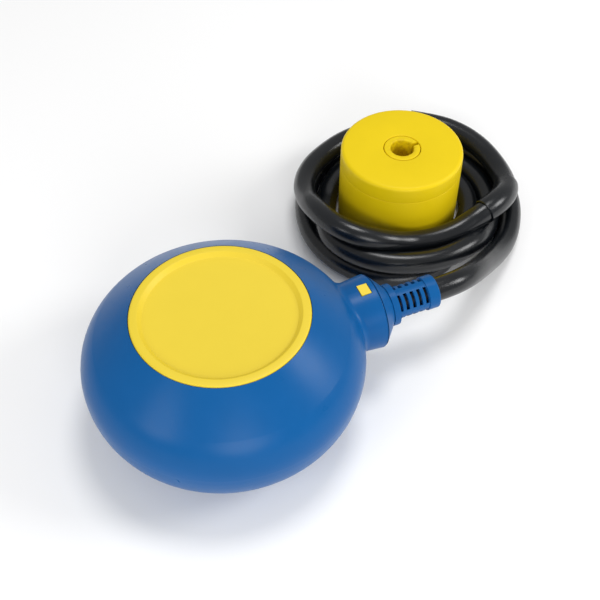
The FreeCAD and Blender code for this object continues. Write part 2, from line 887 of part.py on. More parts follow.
gasket_ring = cut("gasket_ring", chamber_slab("gasket_outside", chamber_top, gasket_top),
                  block("gasket_middle", (boss_x * -1, (boss_y - dim.boss_radius) * -1, chamber_top),
                        (boss_x, boss_y - dim.boss_radius, gasket_top)))
gasket_holes = corner_rods("gasket_hole", dim.screw_radius, dim.gasket_thickness, chamber_top)
capsule_gasket = drill("capsule_gasket", gasket_ring, gasket_holes)

capsule_lid = drill("capsule_lid", chamber_slab("lid_plate", gasket_top, lid_top),
                    corner_rods("lid_hole", dim.screw_radius, dim.lid_thickness, gasket_top))

shanks = corner_rods("lid_screw_shank", dim.screw_radius, dim.screw_length, screw_bottom)
heads = corner_rods("lid_screw_head", dim.screw_head_radius, dim.screw_head_height, lid_top)
capsule_screws = fuse("capsule_screws", shanks + heads)

core_exits = [core_height + dim.core_pitch * step for step in (-1, 0, 1)]
plug_body = rod("core_plug_body", dim.core_plug_radius, dim.chamber_wall,
                inside_x, 0, core_height, "X")
plug_flange = rod("core_plug_flange", dim.core_plug_flange, dim.core_plug_flange_length,
                  half_length, 0, core_height, "X")
core_holes = [rod(f"core_hole_{number}", dim.core_radius,
                  dim.chamber_wall + dim.core_plug_flange_length, inside_x, 0, height, "X")
              for number, height in enumerate(core_exits)]
capsule_grommet = drill("capsule_grommet", fuse("core_plug", [plug_body, plug_flange]), core_holes)


# Ball and its guide
guide_length = inside_x + dim.guide_end
ball_guide = cut("ball_guide",
                 rod("guide_outside", guide_radius, guide_length,
                     inside_x * -1, 0, dim.ball_axis_height, "X"),
                 rod("guide_inside", dim.ball_radius + dim.ball_gap, guide_length,
                     inside_x * -1, 0, dim.ball_axis_height, "X"))
steel_ball = doc.addObject("Part::Sphere", "steel_ball")
bind(steel_ball, "Radius", dim.ball_radius)
place(steel_ball, x=dim.ball_end_gap + dim.ball_radius - inside_x, z=dim.ball_axis_height)


# Microswitch: it stands on end, so that its lever faces the ball
cavity_front = dim.case_front + dim.case_wall
cavity_back = case_back - dim.case_back_wall
cavity_low = case_bottom + dim.case_wall
cavity_high = case_top - dim.case_wall
hinge_x = dim.case_front - dim.hinge_forward
hinge_z = case_bottom + dim.hinge_height - dim.case_floor
lever_back = hinge_x + dim.lever_thickness / 2
plunger_z = hinge_z + dim.plunger_rise
contact_low = case_bottom + dim.contact_inset
contact_levels = [contact_low + dim.contact_pitch * step for step in range(3)]
contact_half = dim.contact_width / 2
contact_end = case_back + dim.contact_tail
blade_back = cavity_back - dim.contact_thickness - dim.blade_swing_gap
blade_front = blade_back - dim.blade_thickness
blade_low = contact_low + dim.contact_thickness + dim.blade_gap
blade_high = contact_levels[2] - dim.blade_tip_gap

case_block = block("case_block", (dim.case_front, switch_y * -1, case_bottom),
                   (case_back, switch_y, case_top))
case_cavity = block("case_cavity", (cavity_front, dim.case_side_wall - switch_y, cavity_low),
                    (cavity_back, switch_y, cavity_high))
contact_slots = [block(f"contact_slot_{number}", (cavity_back, contact_half * -1, level),
                       (case_back, contact_half, level + dim.contact_thickness))
                 for number, level in enumerate(contact_levels)]
plunger_hole = rod("plunger_hole", dim.plunger_radius + dim.plunger_gap, dim.case_wall,
                   dim.case_front, 0, plunger_z, "X")
screw_holes = [rod(f"case_hole_{number}", dim.switch_screw_radius, dim.case_width,
                   hole_x, switch_y * -1, height, "Y")
               for number, height in enumerate((hole_low, hole_high))]
ears = []
for number, ear_y in enumerate((switch_y * -1, switch_y - dim.hinge_ear_width)):
    ears.append(block(f"ear_block_{number}", (hinge_x, ear_y, hinge_z - dim.hinge_ear_radius),
                      (dim.case_front, ear_y + dim.hinge_ear_width,
                       hinge_z + dim.hinge_ear_radius)))
    ears.append(rod(f"ear_round_{number}", dim.hinge_ear_radius, dim.hinge_ear_width,
                    hinge_x, ear_y, hinge_z, "Y"))
pin_hole = rod("pin_hole", dim.pin_radius, dim.case_width, hinge_x, switch_y * -1, hinge_z, "Y")
switch_case = drill("switch_case", fuse("case_solid", [case_block] + ears),
                    [case_cavity, plunger_hole, pin_hole] + contact_slots + screw_holes)

cover_plate = block("switch_cover_plate", (dim.case_front, switch_y, case_bottom),
                    (case_back, switch_y + dim.case_lid_thickness, case_top))
cover_holes = [rod(f"cover_hole_{number}", dim.switch_screw_radius, dim.case_lid_thickness,
                   hole_x, switch_y, height, "Y")
               for number, height in enumerate((hole_low, hole_high))]
switch_cover = drill("switch_cover", cover_plate, cover_holes)

screw_length = inside_y + switch_y + dim.case_lid_thickness
switch_screws = fuse("switch_screws", [
    rod(f"switch_screw_{part}_{number}", radius, length, hole_x, start, height, "Y")
    for number, height in enumerate((hole_low, hole_high))
    for part, radius, length, start in (
        ("shank", dim.switch_screw_radius, screw_length, inside_y * -1),
        ("head", dim.switch_screw_head, dim.switch_screw_head_height,
         switch_y + dim.case_lid_thickness))])

lever_pin = rod("lever_pin", dim.pin_radius, dim.case_width, hinge_x, switch_y * -1, hinge_z, "Y")
lever_half = switch_y - dim.hinge_ear_width - dim.lever_side_gap
lever_barrel = rod("lever_barrel", dim.lever_barrel_radius, lever_half * 2,
                   hinge_x, lever_half * -1, hinge_z, "Y")
lever_blade = block("lever_blade", (hinge_x - dim.lever_thickness / 2, lever_half * -1, hinge_z),
                    (lever_back, lever_half, hinge_z + dim.lever_height))
lever_bore = rod("lever_bore", dim.pin_radius + dim.pin_gap, lever_half * 2,
                 hinge_x, lever_half * -1, hinge_z, "Y")
switch_lever = cut("switch_lever", fuse("lever_solid", [lever_barrel, lever_blade]), lever_bore)

plunger_start = lever_back + dim.lever_gap
plunger_end = blade_front - dim.plunger_end_gap
collar_start = cavity_front + dim.plunger_gap
switch_plunger = fuse("switch_plunger", [
    rod("plunger_rod", dim.plunger_radius, plunger_end - plunger_start,
        plunger_start, 0, plunger_z, "X"),
    rod("plunger_collar_ring", dim.plunger_collar, dim.plunger_collar_length,
        collar_start, 0, plunger_z, "X")])

contact_blade = new_body("contact_blade")
pad(contact_blade, "blade", rectangle((blade_front, blade_low), (blade_back, blade_high)),
    dim.contact_width)

common_terminal = new_body("common_terminal")
pad(common_terminal, "common_strip", rectangle(
    (blade_front, contact_levels[0]), (contact_end, contact_levels[0] + dim.contact_thickness)),
    dim.contact_width)

arm_front = cavity_back - dim.contact_thickness
open_terminal = new_body("open_terminal")
pad(open_terminal, "open_strip", [
    (arm_front, contact_levels[1]),
    (contact_end, contact_levels[1]),
    (contact_end, contact_levels[1] + dim.contact_thickness),
    (cavity_back, contact_levels[1] + dim.contact_thickness),
    (cavity_back, blade_high - dim.blade_gap),
    (arm_front, blade_high - dim.blade_gap),
], dim.contact_width)

hook_back = blade_front - dim.blade_gap
hook_front = hook_back - dim.contact_thickness
hook_low = contact_levels[2] - dim.blade_stop_height
closed_terminal = new_body("closed_terminal")
pad(closed_terminal, "closed_strip", [
    (hook_front, hook_low),
    (hook_back, hook_low),
    (hook_back, contact_levels[2]),
    (contact_end, contact_levels[2]),
    (contact_end, contact_levels[2] + dim.contact_thickness),
    (hook_front, contact_levels[2] + dim.contact_thickness),
], dim.contact_width)


# The three cores, from the terminals through the rubber plug to the jacket's end
CORE_NAMES = ("brown_wire", "blue_wire", "black_wire")
CORE_TURNS = (0.3, 0.6)
core_turn_in, core_turn_out = [(inside_x - contact_end) * share for share in CORE_TURNS]
core_clear = half_length + dim.core_plug_flange_length
core_span = jacket_end - core_clear
core_ratios = {}
for name, level, exit_height, step in zip(CORE_NAMES, contact_levels, core_exits, (-1, 0, 1)):
    terminal_height = level + dim.contact_thickness / 2
    jacket_height = dim.neck_height + dim.core_pitch_in_cable * step
    route = [
        (contact_end, terminal_height),
        (contact_end + core_turn_in, terminal_height),
        (contact_end + core_turn_out, exit_height),
        (core_clear + core_span * CORE_TURNS[0], exit_height),
        (jacket_end - core_span * CORE_TURNS[0], jacket_height),
        (jacket_end, jacket_height),
    ]
    points = [FreeCAD.Vector(x.value, 0, z.value) for x, z in route]
    core, radii, core_ratios[name] = tube_along(points, dim.core_radius.value)
    finished_feature(name, core)


# Cable from the gland to the hank. The route is chosen by hand, and x is counted from its start.
lead_route = [
    (0.0, 0.0, dim.neck_height.value),
    (13.5, 0.0, dim.neck_height.value),
    (22.5, 2.6, 24.8),
    (30.5, 7.4, 20.6),
    (39.5, 14.0, 14.6),
    (49.5, 21.2, 8.6),
    (58.0, 28.0, 5.2),
    (65.1, 35.4, dim.cable_radius.value),
]
lead_points = [FreeCAD.Vector(lead_start.value + x, y, z) for x, y, z in lead_route]
lead_solid, lead_radii, lead_ratio = tube_along(lead_points, dim.cable_radius.value)
cable_lead = finished_feature("cable_lead", lead_solid)


# Hank: the outer shape of the wound cable, with room for the counterweight
coil_x = lead_start + dim.coil_reach
coil_disc = rod("coil_disc", dim.coil_radius, dim.coil_height, coil_x, dim.coil_y)
coil_hole = rod("coil_hole", dim.coil_hole_radius, dim.coil_height,
                coil_x + dim.coil_hole_shift_x, dim.coil_y + dim.coil_hole_shift_y)
coil_block = cut("coil_block", coil_disc, coil_hole)
cable_coil = rounded("cable_coil", coil_block,
                     lambda edge: isinstance(edge.Curve, Part.Circle), dim.coil_round)

# Short sleeve on the turn that crosses the hank's top. Its heading is chosen by hand.
SLEEVE_HEADING = 41.0
cable_sleeve = cut("cable_sleeve",
                   rod("sleeve_outside", sleeve_bore + dim.sleeve_wall,
                       dim.sleeve_length, along="X"),
                   rod("sleeve_inside", sleeve_bore, dim.sleeve_length, along="X"))
turn(cable_sleeve, Z_AXIS, SLEEVE_HEADING)
place(cable_sleeve, coil_x + dim.sleeve_shift_x, dim.coil_y + dim.sleeve_shift_y, dim.sleeve_height)


# Counterweight: a cup and a lid round an iron ring, with a split clamp round the cable bore
def weight_body(name):
    body = new_body(name)
    place(body, coil_x + dim.weight_shift_x, dim.coil_y + dim.weight_shift_y)
    return body


column_radius = dim.weight_bore + dim.weight_column_wall
ballast_inner = column_radius + dim.ballast_gap
weight_inner = dim.weight_radius - dim.weight_wall
top_radius = dim.weight_radius - dim.weight_draft
split_radius = dim.weight_radius - dim.weight_draft / 2
lid_bottom = dim.weight_height - dim.clamp_depth
clamp_hole = dim.clamp_radius + dim.clamp_gap
column_top = lid_bottom

weight_cup = weight_body("weight_cup")
revolve(weight_cup, "cup", [
    (dim.weight_bore, 0),
    (dim.weight_radius - dim.weight_round, 0),
    Bow(dim.weight_round, RIGHT),
    (dim.weight_radius, dim.weight_round),
    (split_radius, dim.weight_split),
    (weight_inner, dim.weight_split),
    (weight_inner, dim.weight_wall),
    (column_radius, dim.weight_wall),
    (column_radius, column_top),
    (dim.weight_bore, column_top),
], "V")

weight_ballast = weight_body("weight_ballast")
revolve(weight_ballast, "ballast", rectangle(
    (ballast_inner, dim.weight_wall),
    (weight_inner - dim.ballast_gap, dim.weight_wall + dim.ballast_height)), "V")

weight_lid = weight_body("weight_lid")
revolve(weight_lid, "lid", [
    (clamp_hole, dim.weight_split),
    (split_radius, dim.weight_split),
    (top_radius, dim.weight_height - dim.weight_round),
    Bow(dim.weight_round, RIGHT),
    (top_radius - dim.weight_round, dim.weight_height),
    (clamp_hole, dim.weight_height),
], "V")

weight_clamp = weight_body("weight_clamp")
revolve(weight_clamp, "clamp", [
    (dim.weight_bore, lid_bottom),
    (dim.clamp_radius, lid_bottom),
    (dim.clamp_radius, dim.weight_height),
    (dim.weight_bore + dim.clamp_chamfer, dim.weight_height),
    (dim.weight_bore, dim.weight_height - dim.clamp_chamfer),
], "V")
slit = new_sketch(weight_clamp, "slit_outline", "XY_Plane", lift=dim.weight_height)
outline(slit, rectangle((0, dim.clamp_slit / -2), (dim.clamp_radius * 2, dim.clamp_slit / 2)))
slit_cut = weight_clamp.newObject("PartDesign::Pocket", "slit")
slit_cut.Profile = slit
slit_cut.Type = "ThroughAll"


NODES = (
    "float_body", "cover_disc", "cover_seal", "cable_grommet", "grommet_washer", "gland_clip",
    "gland_plug", "strain_relief", "cable_end", "capsule_base", "capsule_gasket", "capsule_lid",
    "capsule_screws", "capsule_grommet", "ball_guide", "steel_ball", "switch_case",
    "switch_cover", "switch_screws", "lever_pin", "switch_lever", "switch_plunger",
    "contact_blade", "common_terminal", "open_terminal", "closed_terminal", "brown_wire",
    "blue_wire", "black_wire", "cable_lead", "cable_coil", "cable_sleeve", "weight_cup",
    "weight_ballast", "weight_lid", "weight_clamp",
)

doc.recompute()
for item in doc.Objects:
    if "Invalid" in item.State or "Error" in item.State:
        raise RuntimeError(f"{item.Name} failed: {item.State}")
for name in NODES:
    node = doc.getObject(name)
    node.Label = name
    shape = node.Shape
    if shape.isNull() or not shape.isValid():
        raise RuntimeError(f"{name} has no valid shape")
    shape.exportStep(f"parts/{name}.step")
    print(f"{name}: {len(shape.Solids)} solid(s), {shape.Volume:.1f} mm3")
print("lead radii:", ", ".join(f"{radius:.1f}" for radius in lead_radii))
print(f"lead volume against section times length: {lead_ratio:.5f}")
print("core volumes:", ", ".join(f"{ratio:.5f}" for ratio in core_ratios.values()))
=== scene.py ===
import math

import bmesh
import bpy
from mathutils import Matrix, Vector


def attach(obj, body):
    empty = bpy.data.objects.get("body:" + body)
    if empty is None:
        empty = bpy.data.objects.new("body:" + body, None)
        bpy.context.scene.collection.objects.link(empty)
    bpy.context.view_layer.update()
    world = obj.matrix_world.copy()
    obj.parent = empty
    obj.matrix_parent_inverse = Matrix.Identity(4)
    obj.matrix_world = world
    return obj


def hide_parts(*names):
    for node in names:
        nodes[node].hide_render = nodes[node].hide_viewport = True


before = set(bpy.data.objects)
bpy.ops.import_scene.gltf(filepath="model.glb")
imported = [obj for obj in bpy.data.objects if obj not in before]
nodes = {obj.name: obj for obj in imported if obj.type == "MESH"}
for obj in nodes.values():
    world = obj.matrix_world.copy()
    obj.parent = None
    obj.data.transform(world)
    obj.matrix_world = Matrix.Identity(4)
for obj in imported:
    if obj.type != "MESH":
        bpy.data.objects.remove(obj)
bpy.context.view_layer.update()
mm = 0.001
sharpAngle = math.radians(38)          # edges bent by more than this stay sharp
print("frame loaded:", len(nodes), "nodes")


# The photograph's view
camera = {
    "place": (-59.6, -211.3, 315.6),   # millimetres
    "pitch": 49.6,                     # degrees below level
    "heading": -22.8,                  # degrees from +Y
    "lens": 60.72,
    "sensor": 36.0,
    "near": 0.01,                      # metres
    "far": 20.0,
}


def linkObject(name, data):
    item = bpy.data.objects.new(name, data)
    bpy.context.scene.collection.objects.link(item)
    return item


def addCamera():
    data = bpy.data.cameras.new("photoCamera")
    data.lens = camera["lens"]
    data.sensor_width = camera["sensor"]
    data.clip_start = camera["near"]
    data.clip_end = camera["far"]
    item = linkObject("photoCamera", data)
    item.location = Vector(camera["place"]) * mm
    item.rotation_euler = (math.radians(90 - camera["pitch"]), 0, math.radians(camera["heading"]))
    bpy.context.scene.camera = item


addCamera()
print("camera placed")


# One cable: out of the gland, down to the floor and round the hank to its bare end
cable = {
    "radius": 4.6,
    "length": 0.905,                   # metres
    "coilCentre": (107.4, 65.8),
    "lead": [
        (76.5, 0.0, 27.0),
        (90.0, 0.0, 27.0),
        (99.0, 2.6, 24.8),
        (107.0, 7.4, 20.6),
        (116.0, 14.0, 14.6),
        (126.0, 21.2, 8.6),
        (134.5, 28.0, 5.2),
        (141.6, 35.4, 4.6),
    ],
    # azimuth in degrees about the hank's middle, radius and height of the cable's middle
    "turns": [
        (-24.0, 45.4, 4.6), (40.0, 45.4, 4.6), (100.0, 45.4, 4.6), (135.0, 44.4, 4.6),
        (160.0, 44.0, 4.6), (185.0, 45.2, 4.6), (210.0, 45.4, 4.6), (235.0, 44.2, 4.6),
        (252.0, 41.4, 4.6), (268.0, 36.6, 4.6), (280.0, 32.0, 4.6), (292.0, 28.4, 4.6),
        (305.0, 27.0, 4.6), (345.0, 27.0, 4.6), (385.0, 27.0, 4.6), (415.0, 28.6, 4.6),
        (445.0, 31.4, 4.6), (475.0, 34.0, 4.6), (500.0, 34.6, 4.6), (512.0, 34.8, 5.0),
        (526.0, 36.0, 7.6), (539.0, 38.2, 11.6), (552.0, 43.0, 13.8), (565.0, 45.4, 13.8),
        (585.0, 45.0, 13.8), (605.0, 43.4, 13.6), (625.0, 41.4, 13.0), (640.0, 39.8, 12.7),
        (650.0, 38.7, 11.6), (658.0, 37.4, 9.6), (668.0, 36.8, 6.4), (680.0, 36.3, 4.7),
        (700.0, 36.2, 4.6), (745.0, 36.2, 4.6), (768.0, 36.6, 5.6), (788.0, 38.8, 10.8),
        (803.0, 40.8, 12.8), (825.0, 41.6, 12.8), (843.0, 42.2, 12.9), (857.0, 43.8, 13.4),
        (870.0, 45.0, 13.8), (882.0, 44.4, 14.6), (893.0, 44.3, 17.8), (902.0, 44.5, 20.8),
        (912.0, 44.8, 22.8), (927.0, 44.6, 23.0), (938.0, 42.4, 22.4), (949.0, 38.6, 19.4),
        (960.0, 33.6, 15.0), (971.0, 31.2, 13.5), (990.0, 30.9, 13.6), (1006.0, 31.8, 14.6),
        (1018.0, 33.8, 17.2), (1030.0, 36.8, 19.4), (1041.0, 39.8, 19.0), (1052.0, 41.8, 16.2),
        (1064.0, 42.4, 13.8), (1078.0, 42.6, 13.2), (1095.0, 43.6, 13.5), (1112.0, 44.8, 13.8),
        (1130.0, 45.4, 13.8), (1142.0, 45.4, 13.8),
    ],
    "step": 15.0,                      # degrees between the points of a turn
}


def mix(low, high, share):
    return low + (high - low) * share


def smoothShare(share):
    return share * share * (3 - 2 * share)


# Slopes of a curve through (azimuth, value) rows that never swings past a row
def rowSlopes(places, values):
    rows = list(zip(places, values))
    steps = [(after[1] - before[1]) / (after[0] - before[0]) for before, after in zip(rows, rows[1:])]
    slopes = [steps[0]]
    for before, after in zip(steps, steps[1:]):
        slopes.append(2 * before * after / (before + after) if before * after > 0 else 0.0)
    return slopes + [steps[-1]]


turnPlaces, turnRadii, turnHeights = zip(*cable["turns"])
radiusSlopes = rowSlopes(turnPlaces, turnRadii)
heightSlopes = rowSlopes(turnPlaces, turnHeights)


def curveValue(azimuth, values, slopes):
    index = max(0, sum(place < azimuth for place in turnPlaces[:-1]) - 1)
    span = turnPlaces[index + 1] - turnPlaces[index]
    share = (azimuth - turnPlaces[index]) / span
    rest = 1 - share
    level = mix(values[index], values[index + 1], smoothShare(share))
    return level + span * share * rest * (rest * slopes[index] - share * slopes[index + 1])


def turnPoint(azimuth):
    radius = curveValue(azimuth, turnRadii, radiusSlopes) / math.cos(math.radians(cable["step"] / 2))
    angle = math.radians(azimuth)
    return (cable["coilCentre"][0] + radius * math.cos(angle),
            cable["coilCentre"][1] + radius * math.sin(angle),
            curveValue(azimuth, turnHeights, heightSlopes))


def cablePoints():
    first, last = cable["turns"][0][0], cable["turns"][-1][0]
    count = round((last - first) / cable["step"])
    turns = [turnPoint(mix(first, last, number / count)) for number in range(count + 1)]
    return [Vector(point) * mm for point in cable["lead"] + turns]


def addSpline(name, points, radius, detail=8):
    data = bpy.data.curves.new(name, "CURVE")
    data.dimensions = "3D"
    spline = data.splines.new("NURBS")
    spline.points.add(len(points) - 1)
    for item, point in zip(spline.points, points):
        item.co = (*point, 1.0)
    spline.order_u = 3
    spline.use_endpoint_u = True
    spline.resolution_u = 12
    data.bevel_depth = radius
    data.bevel_resolution = detail
    data.use_fill_caps = True
    return linkObject(name, data)


cableRun = addSpline("cableRun", cablePoints(), cable["radius"] * mm)
print("cable laid")


# The cable's middle line, read from its own spline
def splineLine(curve):
    copy = curve.data.copy()
    copy.bevel_depth = 0
    plain = bpy.data.objects.new("cableLine", copy)
    mesh = bpy.data.meshes.new_from_object(plain)
    line = [vertex.co.copy() for vertex in mesh.vertices]
    bpy.data.objects.remove(plain)
    bpy.data.curves.remove(copy)
    return line


# Short sleeve on the strand that crosses the hank's top at the front
sleeve = {
    "turn": 2,                         # whole turns before its own
    "azimuth": (304.0, 338.0),
    "bore": 4.78,
    "outside": 5.3,
    "lip": 0.25,
    "rings": 14,
    "leadSamples": 100,                # points of the line that are left out, before the hank
    "spread": 2,                       # points on either side that give the line's heading
}


def turnAngles(segments):
    return [2 * math.pi * step / segments for step in range(segments)]


def finishMesh(name, mesh):
    data = bpy.data.meshes.new(name)
    mesh.to_mesh(data)
    mesh.free()
    data.shade_smooth()
    data.set_sharp_from_angle(angle=sharpAngle)
    return linkObject(name, data)


# The stretch of the line between two azimuths, counted on through the turns
def lineSpan(line, first, last):
    middle = Vector((*cable["coilCentre"], 0)) * mm
    azimuth = None
    span = []
    for point in line[sleeve["leadSamples"]:]:
        flat = point - middle
        here = math.degrees(math.atan2(flat.y, flat.x))
        if azimuth is None:
            azimuth = here
        azimuth += (here - azimuth + 180) % 360 - 180
        if first <= azimuth <= last:
            span.append(point)
    return span


# A closed skin round a line, from an outline of (share of the length, shift along it, radius)
def tubeMesh(name, line, outline, segments=64):
    mesh = bmesh.new()
    lengths = [0.0]
    for before, after in zip(line, line[1:]):
        lengths.append(lengths[-1] + (after - before).length)
    rings = []
    for share, shift, radius in outline:
        place = min(max(share * lengths[-1] + shift * mm, 0), lengths[-1])
        index = min(max(sum(length <= place for length in lengths) - 1, 0), len(line) - 2)
        reach = (place - lengths[index]) / (lengths[index + 1] - lengths[index])
        centre = line[index].lerp(line[index + 1], reach)
        low = max(index - sleeve["spread"], 0)
        high = min(index + 1 + sleeve["spread"], len(line) - 1)
        along = (line[high] - line[low]).normalized()
        side = along.cross(Vector((0, 0, 1))).normalized()
        up = side.cross(along)
        size = radius * mm
        rings.append([mesh.verts.new(centre + (side * math.cos(turn) + up * math.sin(turn)) * size)
                      for turn in turnAngles(segments)])
    for ring, other in zip(rings, rings[1:] + rings[:1]):
        for step in range(segments):
            after = (step + 1) % segments
            mesh.faces.new((ring[step], other[step], other[after], ring[after]))
    bmesh.ops.recalc_face_normals(mesh, faces=mesh.faces)
    return finishMesh(name, mesh)


def addSleeve():
    first, last = (360 * sleeve["turn"] + azimuth for azimuth in sleeve["azimuth"])
    line = lineSpan(splineLine(cableRun), first, last)
    bore, outside, lip = sleeve["bore"], sleeve["outside"], sleeve["lip"]
    count = sleeve["rings"]
    outer = [(step / count, 0, outside) for step in range(1, count)]
    inner = [(step / count, 0, bore) for step in range(count, -1, -1)]
    outline = [(0, 0, outside - lip), (0, lip, outside)] + outer
    outline += [(1, -lip, outside), (1, 0, outside - lip)] + inner
    return tubeMesh("cableSleeve", line, outline)


# The points of an outline of (height, radius, rounding) corners
def roundedOutline(corners, arcSteps=5):
    points = []
    count = len(corners)
    for index, (along, out, rounding) in enumerate(corners):
        here = Vector((along, out))
        if not rounding:
            points.append(here)
            continue
        before = Vector(corners[index - 1][:2]) - here
        after = Vector(corners[(index + 1) % count][:2]) - here
        half = before.angle(after) / 2
        reach = rounding / math.tan(half)
        inward = (before.normalized() + after.normalized()).normalized()
        centre = here + inward * rounding / math.sin(half)
        start = here + before.normalized() * reach - centre
        end = here + after.normalized() * reach - centre
        sweep = start.angle_signed(end)
        for step in range(arcSteps + 1):
            points.append(centre + Matrix.Rotation(-sweep * step / arcSteps, 2) @ start)
    return points


# A closed mesh turned about +Z from such an outline
def latheMesh(name, corners, centre=(0, 0, 0), segments=160):
    outline = roundedOutline(corners)
    mesh = bmesh.new()
    rings = []
    for along, out in outline:
        if out == 0:
            rings.append([mesh.verts.new((0, 0, along))])
            continue
        rings.append([mesh.verts.new((out * math.cos(turn), out * math.sin(turn), along))
                      for turn in turnAngles(segments)])
    for ring, other in zip(rings, rings[1:] + rings[:1]):
        if len(ring) == 1 and len(other) == 1:
            continue
        for step in range(segments):
            after = (step + 1) % segments
            corner = [ring[step % len(ring)], other[step % len(other)],
                      other[after % len(other)], ring[after % len(ring)]]
            face = []
            for vertex in corner:
                if vertex not in face:
                    face.append(vertex)
            mesh.faces.new(face)
    bmesh.ops.recalc_face_normals(mesh, faces=mesh.faces)
    bmesh.ops.translate(mesh, verts=mesh.verts, vec=centre)
    bmesh.ops.scale(mesh, verts=mesh.verts, vec=(mm, mm, mm))
    return finishMesh(name, mesh)


def standFor(piece, body, slot, *replaced):
    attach(piece, body)
    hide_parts(*replaced)
    return piece


# Cover disc: flat rim, soft step down to the dish, skirt with its seal groove
cover = {
    "rimHeight": 53.4,
    "rimRadius": 31.0,
    "rimRound": 0.7,
    "dishRadius": 27.3,
    "dishDepth": 1.4,
    "dishSlope": 1.5,
    "dishRound": 0.35,
    "seat": 50.0,
    "skirt": (24.5, 26.7),
    "skirtBottom": 45.0,
    "skirtRound": 0.3,
    "groove": (25.5, 46.85, 48.35),    # radius, low edge, high edge
    "edgeRound": 0.2,
}


def addCover():
    dish = cover["rimHeight"] - cover["dishDepth"]
    inner, outer = cover["skirt"]
    grooveRadius, grooveLow, grooveHigh = cover["groove"]
    return latheMesh("coverPlate", [
        (cover["seat"], 0.0, 0),
        (cover["seat"], inner, 0),
        (cover["skirtBottom"], inner, cover["skirtRound"]),
        (cover["skirtBottom"], outer, cover["skirtRound"]),
        (grooveLow, outer, 0),
        (grooveLow, grooveRadius, 0),
        (grooveHigh, grooveRadius, 0),
        (grooveHigh, outer, 0),
        (cover["seat"], outer, 0),
        (cover["seat"], cover["rimRadius"], cover["edgeRound"]),
        (cover["rimHeight"], cover["rimRadius"], cover["rimRound"]),
        (cover["rimHeight"], cover["dishRadius"] + cover["dishSlope"] / 2, cover["dishRound"]),
        (dish, cover["dishRadius"] - cover["dishSlope"] / 2, cover["dishRound"]),
        (dish, 0.0, 0),
    ])


# Counterweight: cup, lid and split clamp, all with soft moulded edges
weight = {
    "centre": (103.2, 66.8, 0.0),
    "foot": 25.5,
    "split": (30.0, 25.4),             # height, radius
    "top": (37.5, 25.3),
    "seam": 0.2,
    "edge": 1.6,
    "cupInner": 23.5,
    "wall": 2.0,
    "insideRound": 0.5,
    "column": 6.6,
    "columnTop": 28.0,
    "bore": 4.8,
    "boreRound": 0.3,
    "mouthRound": 0.45,
    "clampRadius": 7.5,
    "clampGap": 0.25,
    "clampBottom": 28.0,
    "clampRound": 0.4,
    "clampBoreRound": 0.7,
    "clampSegments": 96,
    "slit": 1.6,
    "slitMargin": 1.0,
}


def addWeight():
    splitHeight, splitRadius = weight["split"]
    topHeight, topRadius = weight["top"]
    mouth = weight["clampRadius"] + weight["clampGap"]
    cup = latheMesh("counterweightCup", [
        (0, weight["bore"], weight["boreRound"]),
        (0, weight["foot"], weight["edge"]),
        (splitHeight, splitRadius, weight["seam"]),
        (splitHeight, weight["cupInner"], 0),
        (weight["wall"], weight["cupInner"], weight["insideRound"]),
        (weight["wall"], weight["column"], weight["insideRound"]),
        (weight["columnTop"], weight["column"], 0),
        (weight["columnTop"], weight["bore"], 0),
    ], centre=weight["centre"])
    lid = latheMesh("counterweightLid", [
        (splitHeight, mouth, 0),
        (splitHeight, splitRadius, weight["seam"]),
        (topHeight, topRadius, weight["edge"]),
        (topHeight, mouth, weight["mouthRound"]),
    ], centre=weight["centre"])
    clamp = latheMesh("counterweightClamp", [
        (weight["clampBottom"], weight["bore"], 0),
        (weight["clampBottom"], weight["clampRadius"], 0),
        (topHeight, weight["clampRadius"], weight["clampRound"]),
        (topHeight, weight["bore"], weight["clampBoreRound"]),
    ], centre=weight["centre"], segments=weight["clampSegments"])
    cutSlit(clamp)
    return cup, lid, clamp


def boxMesh(name, low, high):
    mesh = bmesh.new()
    bmesh.ops.create_cube(mesh, size=1.0)
    for vertex in mesh.verts:
        vertex.co = [mix(start, end, place + 0.5) * mm
                     for start, end, place in zip(low, high, vertex.co)]
    data = bpy.data.meshes.new(name)
    mesh.to_mesh(data)
    mesh.free()
    return linkObject(name, data)


def cutAway(piece, tool):
    modifier = piece.modifiers.new("cut", "BOOLEAN")
    modifier.operation = "DIFFERENCE"
    modifier.solver = "EXACT"
    modifier.object = tool
    bpy.context.view_layer.update()
    evaluated = piece.evaluated_get(bpy.context.evaluated_depsgraph_get())
    piece.data = bpy.data.meshes.new_from_object(evaluated)
    piece.modifiers.clear()
    bpy.data.objects.remove(tool)
    piece.data.set_sharp_from_angle(angle=sharpAngle)


def cutSlit(clamp):
    centre = Vector(weight["centre"])
    half = weight["slit"] / 2
    margin = weight["slitMargin"]
    low = (centre.x, centre.y - half, weight["clampBottom"] - margin)
    high = (centre.x + weight["clampRadius"] + margin, centre.y + half, weight["top"][0] + margin)
    cutAway(clamp, boxMesh("slitTool", low, high))


cableSleeve = addSleeve()
standFor(cableRun, "housing", "black_cable", "cable_lead", "cable_coil")
standFor(cableSleeve, "housing", "black_rubber", "cable_sleeve")
coverPlate = standFor(addCover(), "housing", "yellow_cover", "cover_disc")
weightCup, weightLid, weightClamp = addWeight()
standFor(weightCup, "housing", "yellow_weight", "weight_cup")
standFor(weightLid, "housing", "yellow_weight", "weight_lid")
standFor(weightClamp, "housing", "yellow_weight", "weight_clamp")
print("cover and counterweight turned")


# Cells in a metre of each noise that the shader groups use
noiseScales = {
    "broad": 26.0,
    "cloud": 70.0,
    "flow": 140.0,
    "streak": 320.0,
    # patches of painted shade in the clamp's bore
    "shadePatches": 620.0,
}


